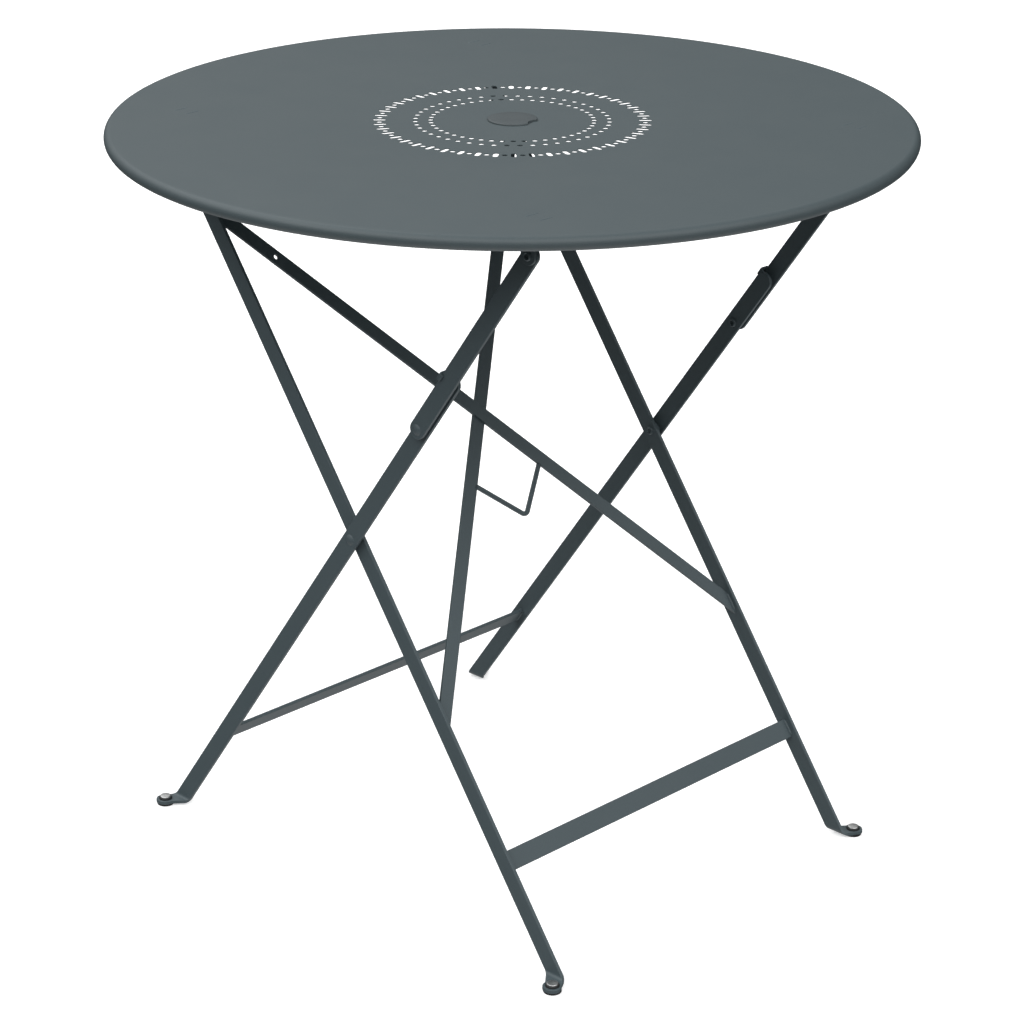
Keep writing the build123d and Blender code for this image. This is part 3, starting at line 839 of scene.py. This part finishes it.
# ------------------------------------------------------------------ welds
for place, side in SIDES.items():
    face_in = side * (INNER_Y - BAR_T / 2)
    outer_in = side * (OUTER_Y - BAR_T / 2)
    for name, frame_side, at, y, body in (("inner_stretcher_weld", INNER, inner_at, face_in, "inner_legs"),
                                          ("outer_stretcher_weld", OUTER, outer_at, outer_in, "outer_legs")):
        for face, lift in (("front", BAR_T / 2), ("back", -BAR_T / 2)):
            first = on_frame(frame_side, at - CROSSBAR_W * 0.46, lift, y)
            last = on_frame(frame_side, at + CROSSBAR_W * 0.46, lift, y)
            done(weld(f"{name}_{face}_{place}", first, last), body, LIT_FRAME_COAT)
    for name, slope, lift in (("front_diagonal_weld", -1, BRACE_T), ("rear_diagonal_weld", 1, -BRACE_T)):
        at = diagonal_at(face_in, slope)
        for face, level in (("front", max(lift, 0)), ("back", min(lift, 0))):
            first = on_frame(INNER, at - BRACE_W * 0.72, level, face_in)
            last = on_frame(INNER, at + BRACE_W * 0.72, level, face_in)
            done(weld(f"{name}_{face}_{place}", first, last), "inner_legs", LIT_FRAME_COAT)
    for node in ("leg_bracket", "strut_bracket"):
        low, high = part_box(f"{node}_{place}")
        inner_edge = high.y if side < 0 else low.y
        for face, x in (("left", low.x), ("right", high.x)):
            first = Vector((x, inner_edge + side * 22 * MM, UNDER_Z - 0.4 * MM))
            last = Vector((x, inner_edge + side * 2 * MM, UNDER_Z - 0.4 * MM))
            bead = weld(f"{node}_weld_{face}_{place}", first, last)
            done(bead, "tabletop", LIT_FRAME_COAT)

# ------------------------------------------------------------------ studio
def pale_floor():
    fresh()
    bpy.ops.mesh.primitive_plane_add(size=40, location=(0, 0, 0))
    floor = named("studio_floor")
    material, tree, _ = blank("seamless_paper")
    surface(tree, Base_Color=linear("#F6F6F6"), Roughness=0.9, Emission_Color=linear("#FFFFFF"),
            Emission_Strength=0.45)
    floor.data.materials.append(material)
    floor.visible_diffuse = floor.visible_glossy = floor.visible_shadow = False
    floor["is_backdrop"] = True


# How bright the studio is, up each wall: bright from below, dark round the horizon, bright high up
# in front and at both sides, and dim overhead.  The levels come from a fit and are then rounded, so
# they describe no real lamps.
HEIGHTS = (-1.0, -0.5, 0.0, 0.35, 0.7, 1.0)
WALLS = (((1, 0, 0), (1.3, 0.05, 0.0, 1.2, 2.85, 0.2)), ((-1, 0, 0), (1.3, 0.05, 0.0, 0.45, 2.5, 0.2)),
         ((0, 1, 0), (1.3, 0.05, 0.0, 0.0, 0.05, 0.2)), ((0, -1, 0), (1.3, 0.07, 0.0, 0.0, 3.6, 0.2)))
BRIGHTEST = 3.6


def studio_air():
    """Each direction takes its light from the two walls that it is between."""
    world = bpy.data.worlds.new("studio")
    bpy.context.scene.world = world
    world.use_nodes = True
    tree = world.node_tree
    tree.nodes.clear()
    way = add(tree, "ShaderNodeTexCoord").outputs["Generated"]
    height = add(tree, "ShaderNodeSeparateXYZ", {"Vector": way})
    share = add(tree, "ShaderNodeMapRange", {"Value": height.outputs["Z"], "From Min": -1.0, "From Max": 1.0})
    level = add(tree, "ShaderNodeVectorMath", {0: way, 1: (1, 1, 0)}, operation="MULTIPLY")
    level = add(tree, "ShaderNodeVectorMath", {0: level.outputs["Vector"]}, operation="NORMALIZE")
    total = None
    for wall, tones in WALLS:
        facing = add(tree, "ShaderNodeVectorMath", {0: level.outputs["Vector"], 1: wall},
                     operation="DOT_PRODUCT")
        facing = add(tree, "ShaderNodeMath", {0: facing.outputs["Value"], 1: 0.0}, operation="MAXIMUM")
        facing = add(tree, "ShaderNodeMath", {0: facing.outputs["Value"], 1: 2.0}, operation="POWER")
        ramp = add(tree, "ShaderNodeValToRGB", {"Fac": share.outputs["Result"]})
        stops = ramp.color_ramp.elements
        for index, (at, tone) in enumerate(zip(HEIGHTS, tones)):
            stop = stops[index] if index < 2 else stops.new((at + 1) / 2)
            stop.position = (at + 1) / 2
            stop.color = [tone / BRIGHTEST] * 3 + [1]
        lit = add(tree, "ShaderNodeVectorMath", {0: ramp.outputs["Color"], "Scale": facing.outputs["Value"]},
                  operation="SCALE")
        if total:
            lit = add(tree, "ShaderNodeVectorMath", {0: total.outputs["Vector"], 1: lit.outputs["Vector"]},
                      operation="ADD")
        total = lit
    air = add(tree, "ShaderNodeBackground", {"Color": total.outputs["Vector"], "Strength": BRIGHTEST})
    add(tree, "ShaderNodeOutputWorld", {"Surface": air.outputs[0]})


def camera():
    """A long lens, well back, looking down on the near right quarter."""
    turn, dip, roll = (math.radians(angle) for angle in (44.348, 21.814, 0.287))
    away, lens = 3.1123, 110.81
    back = Vector((math.sin(turn) * math.cos(dip), -math.cos(turn) * math.cos(dip), math.sin(dip)))
    right = (-back).cross(Vector((0, 0, 1))).normalized()
    up = right.cross(-back)
    aim = Vector((0, 0, 0.4)) + right * 1.462 * MM - up * 55.949 * MM
    seen_right = math.cos(roll) * right + math.sin(roll) * up
    seen_up = -math.sin(roll) * right + math.cos(roll) * up
    data = bpy.data.cameras.new("camera")
    data.lens, data.sensor_width, data.clip_end = lens, 36, 100
    eye = bpy.data.objects.new("camera", data)
    bpy.context.scene.collection.objects.link(eye)
    turned_to = Matrix((seen_right, seen_up, back)).transposed().to_4x4()
    eye.matrix_world = Matrix.Translation(aim + back * away) @ turned_to
    bpy.context.scene.camera = eye


camera()
pale_floor()
studio_air()
bpy.context.scene.view_settings.view_transform = "Standard"

low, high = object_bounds()
